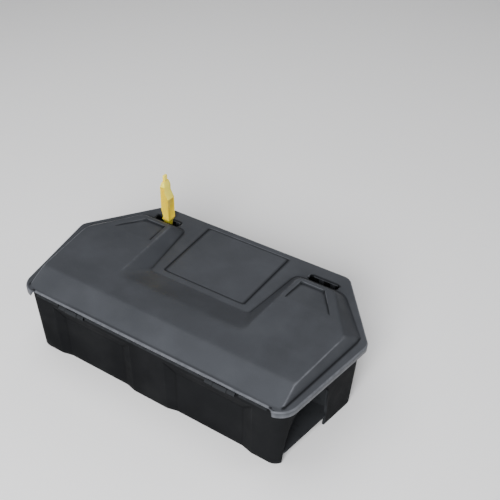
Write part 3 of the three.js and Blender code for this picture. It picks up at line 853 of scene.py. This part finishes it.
def tube(name, path, radius, sides=20, aside=(0, 1, 0)):
    """A round bar along a path: at each point a ring in the plane square to the path, turned from one
    fixed direction. Three smaller rings close each end, a sixth of the radius inside it, so the ends
    are slightly dished."""
    path = np.asarray(path, float)
    along = np.gradient(path, axis=0)
    along /= np.linalg.norm(along, axis=1, keepdims=True)
    first = np.cross(along, aside)
    first /= np.linalg.norm(first, axis=1, keepdims=True)
    second = np.cross(along, first)
    tips = np.radians([75, 50, 25])
    reach = np.concatenate([np.cos(tips), np.ones(len(path)), np.cos(tips[::-1])]) * radius
    dish = (1 - np.sin(tips[-1])) * radius * 0.3
    push = np.concatenate([[dish] * 3, np.zeros(len(path)), [-dish] * 3])
    pick = np.concatenate([[0] * 3, np.arange(len(path)), [len(path) - 1] * 3])
    centre = path[pick] + along[pick] * push[:, None]
    angle = np.arange(sides) * 2 * np.pi / sides
    ring = np.cos(angle)[None, :, None] * first[pick][:, None]
    ring = ring + np.sin(angle)[None, :, None] * second[pick][:, None]
    points = (centre[:, None] + ring * reach[:, None, None]).reshape(-1, 3)
    rows = np.arange(len(pick) * sides).reshape(-1, sides)
    faces = np.concatenate([band_faces(a, b) for a, b in zip(rows, rows[1:])])
    turned = outward(points, faces)
    ends = [tuple(rows[0]), tuple(rows[-1][::-1])]
    if turned is not faces:
        ends = [end[::-1] for end in ends]
    return new_piece(name, points, turned.tolist() + ends)


for side, name in ((-1, "left"), (1, "right")):
    x = np.linspace(side * HINGE_X - PIN_REACH, side * HINGE_X + PIN_REACH, 9)
    pin_path = np.column_stack([x, 0 * x + HINGE_Y, 0 * x + HINGE_Z])
    pin = tube(f"hinge_pin_{name}_rod", pin_path, PIN_RADIUS, 24)
    settle(pin)
    fitted(pin, "base", base_plastic, f"hinge_pin_{name}")


# ---- Lid catches --------------------------------------------------------------------------------------
# Two hooks of the lid's own plastic hang behind each key slot. The latch's noses spring in under them
# and hold the lid shut.
CATCH_X = [(87, 92), (100, 105)]
HOOK_Y, HOOK_Z = (179.5, 182), (61.6, 78.5)
BARB_Y, BARB_Z = 173.6, (66.5, 69)
hook = [(HOOK_Y[0], HOOK_Z[0]), (HOOK_Y[1], HOOK_Z[0]), (HOOK_Y[1], HOOK_Z[1]), (HOOK_Y[0], HOOK_Z[1])]
hook += [(HOOK_Y[0], BARB_Z[1]), (BARB_Y, BARB_Z[1]), (BARB_Y, BARB_Z[0]), (HOOK_Y[0], BARB_Z[0])]
hook_spans = CATCH_X + [mirrored(span) for span in CATCH_X]
catches = prisms("lid_catches", [hook] * 4, hook_spans, "x")
fitted(soften(catches, 0.3), "lid", lid_plastic, "lid")


# ---- Latches and springs ------------------------------------------------------------------------------
# A black sliding block with two noses and a ramp for the key, and behind it a small coil spring of drawn
# wire that pushes it out under the lid's hooks.
def copied(node, name, width, segments=2, smooth_below=35, sunk_over=None):
    """A CAD part's own mesh with its doubles merged and flat faces joined, and its edges rounded. Where
    an area in square millimetres is given, each larger face is sunk by 0.7 mm inside a border of
    1.5 mm."""
    shape = bmesh.new()
    shape.from_mesh(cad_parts[node].data)
    bmesh.ops.remove_doubles(shape, verts=shape.verts, dist=1e-6)
    bmesh.ops.dissolve_limit(shape, angle_limit=math.radians(1), verts=shape.verts, edges=shape.edges)
    if sunk_over:
        large = [face for face in shape.faces if face.calc_area() > sunk_over * 1e-6]
        bmesh.ops.inset_individual(shape, faces=large, thickness=0.0015, depth=-0.0007)
    mesh = bpy.data.meshes.new(name)
    shape.to_mesh(mesh)
    shape.free()
    piece = bpy.data.objects.new(name, mesh)
    bpy.context.scene.collection.objects.link(piece)
    return soften(piece, width, segments, smooth_below)


def drawn_metal(name, colour, roughness, stretch):
    """Bright drawn or plated steel: fine grain changes its roughness and relief, drawn out along an axis
    where stretch is small, and a cloudy film of oxide darkens it in patches."""
    made = Finish(name, roughness, 1.0)
    lines = made.noise(900, 3, made.stretched(stretch))
    film = made.between(made.noise(120, 4), 0.4, 0.7)
    dark = tuple(value * 0.55 for value in colour)
    bright = tuple(min(value * 1.25, 1) for value in colour)
    tone = made.blend(made.between(lines, 0.3, 0.7), colour, bright)
    tone = made.blend(made.combine("MULTIPLY", film, 0.6), tone, dark)
    rough = made.between(lines, 0.3, 0.7, roughness - 0.06, roughness + 0.12)
    return made.joined(tone, rough, made.bump(lines, 0.00003, 0.5))


spring_steel = drawn_metal("spring_steel", (0.5, 0.51, 0.53), 0.32, (1, 1, 1))
SPRING_Y, SPRING_Z = (150.4, 156.6), 54
COIL_RADIUS, WIRE_RADIUS, COIL_TURNS = 2.8, 0.4, 4
for side, name in ((-1, "left"), (1, "right")):
    latch = copied(f"latch_{name}", f"latch_{name}_slide_block", 0.35)
    fitted(latch, f"latch_{name}", base_plastic, f"latch_{name}")
    share = np.linspace(0, 1, 129)
    angle = share * 2 * COIL_TURNS * np.pi
    depth = SPRING_Y[0] + 0.5 + (SPRING_Y[1] - SPRING_Y[0] - 1) * share
    across = side * SLOT_X + side * COIL_RADIUS * np.cos(angle)
    coil = np.column_stack([across, depth, SPRING_Z + COIL_RADIUS * np.sin(angle)])
    spring = tube(f"latch_spring_{name}_coil", coil, WIRE_RADIUS, 12)
    settle(spring)
    spring.data.materials.append(spring_steel)
    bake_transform(spring)
    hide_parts(f"latch_spring_{name}")


# ---- Latch covers and screws --------------------------------------------------------------------------
# A flat moulded plate of grey plastic closes each tower over its spring. Two cross-headed zinc-plated
# screws hold it down.
# The second colour is for rubbed edges: real wear, lightened further as a painted highlight.
TRAY_GREY, TRAY_WORN_HIGHLIGHT = (0.030, 0.031, 0.033), (0.11, 0.113, 0.12)
tray_plastic = moulded_plastic("tray_plastic", TRAY_GREY, 0.5, TRAY_WORN_HIGHLIGHT, gloss=0.4)
zinc_steel = drawn_metal("zinc_steel", (0.62, 0.63, 0.65), 0.3, (0.15, 1, 1))
for name in ("left", "right"):
    cover = copied(f"latch_cover_{name}", f"latch_cover_{name}_plate", 0.4)
    fitted(cover, "base", tray_plastic, f"latch_cover_{name}")
    for place in ("inner", "outer"):
        node = f"cover_screw_{name}_{place}"
        fitted(copied(node, f"{node}_head", 0.2, 2, 40), "base", zinc_steel, node)


# ---- Bait tray and rods -------------------------------------------------------------------------------
# A lift-out moulded tray with a low lip and four notched posts, and two zinc-plated rods that lie in the
# notches and end in a turned-up finger grip.
tray = copied("bait_tray", "bait_tray_moulding", 0.5, 3)
fitted(tray, "base", tray_plastic, "bait_tray")

ROD_Y, ROD_Z, ROD_INNER, ROD_OUTER = 115.0, 42.0, 38.0, 122.0
ROD_TURN, ROD_RISE, ROD_RADIUS = 7.0, 20.0, 2.0
for side, name in ((-1, "left"), (1, "right")):
    rise_z = np.linspace(ROD_Z + ROD_RISE, ROD_Z + ROD_TURN + 0.5, 8)
    run_x = np.linspace(ROD_INNER + ROD_TURN + 1, ROD_OUTER, 30)
    rise = np.column_stack([np.full(8, ROD_INNER), rise_z])
    turn = bent((ROD_INNER, ROD_Z + ROD_TURN), (ROD_INNER, ROD_Z), (ROD_INNER + ROD_TURN, ROD_Z), 16)
    run = np.column_stack([run_x, np.full(30, ROD_Z)])
    line = np.concatenate([rise, turn, run])
    rod_path = np.column_stack([side * line[:, 0], np.full(len(line), ROD_Y), line[:, 1]])
    bait_rod = tube(f"bait_rod_{name}_wire", rod_path, ROD_RADIUS, 24)
    settle(bait_rod)
    fitted(bait_rod, "base", zinc_steel, f"bait_rod_{name}")


# ---- Bait blocks --------------------------------------------------------------------------------------
# Extruded paraffin wax with crushed grain in it, grooved along its sides and bored for the rod. Two
# blocks are threaded on each rod.
def grained_wax():
    """Teal wax with scattered husks: round cells of two sizes pick paler specks, which stand a little
    proud, and darker ones, the wax between is cloudy, and the outer edges are bruised paler."""
    made = Finish("grained_wax", 0.55)
    made.shader.inputs["Subsurface Weight"].default_value = 0.12
    made.shader.inputs["Subsurface Radius"].default_value = (0.002, 0.003, 0.003)
    cloud = made.between(made.noise(60, 5), 0.3, 0.7)
    tone = made.blend(cloud, (0.020, 0.21, 0.19), (0.045, 0.34, 0.30))
    husk = made.between(made.cells(420), 0.16, 0.28, 1, 0)
    tone = made.blend(made.combine("MULTIPLY", husk, 0.8), tone, (0.42, 0.40, 0.22))
    crumb = made.between(made.cells(900), 0.1, 0.2, 1, 0)
    tone = made.blend(made.combine("MULTIPLY", crumb, 0.6), tone, (0.012, 0.10, 0.10))
    edges = made.combine("MULTIPLY", made.stored("wear_and_highlight"), made.noise(300, 3))
    bruised = made.between(edges, 0.1, 0.5)
    tone = made.blend(made.combine("MULTIPLY", bruised, 0.6), tone, (0.16, 0.50, 0.45))
    proud = made.bump(husk, 0.0004, 0.7)
    lumps = made.bump(made.noise(250, 4), 0.0005, 0.6, proud)
    rough = made.between(made.noise(110, 3), 0.3, 0.7, 0.45, 0.68)
    return made.joined(tone, rough, lumps)


wax = grained_wax()
for name in ("left", "right"):
    for place in ("inner", "outer"):
        node = f"bait_block_{name}_{place}"
        fitted(copied(node, f"{node}_wax", 0.9, 3, 50), "base", wax, node)


# ---- Key ----------------------------------------------------------------------------------------------
# One yellow moulding standing in the left slot: a faceted grip, a narrower head with a small nub, and a
# wedge-shaped blade that goes down through the slot.
# The second colour is for the key's rubbed edges: real wear, lightened further as a painted highlight.
KEY_YELLOW, KEY_WORN_HIGHLIGHT, WARM = (0.90, 0.64, 0.02), (1.0, 0.86, 0.12), (1, 0.85, 0.4)
key_plastic = moulded_plastic("key_plastic", KEY_YELLOW, 0.35, KEY_WORN_HIGHLIGHT, 0.00003, 0.2, WARM, 0.15)
key_shader = key_plastic.node_tree.nodes["Principled BSDF"]
key_shader.inputs["Subsurface Weight"].default_value = 0.35
key_shader.inputs["Subsurface Radius"].default_value = (0.006, 0.004, 0.001)
key_grip = copied("key", "key_moulding", 0.8, 3, 30, 100)
fitted(key_grip, "key", key_plastic, "key")
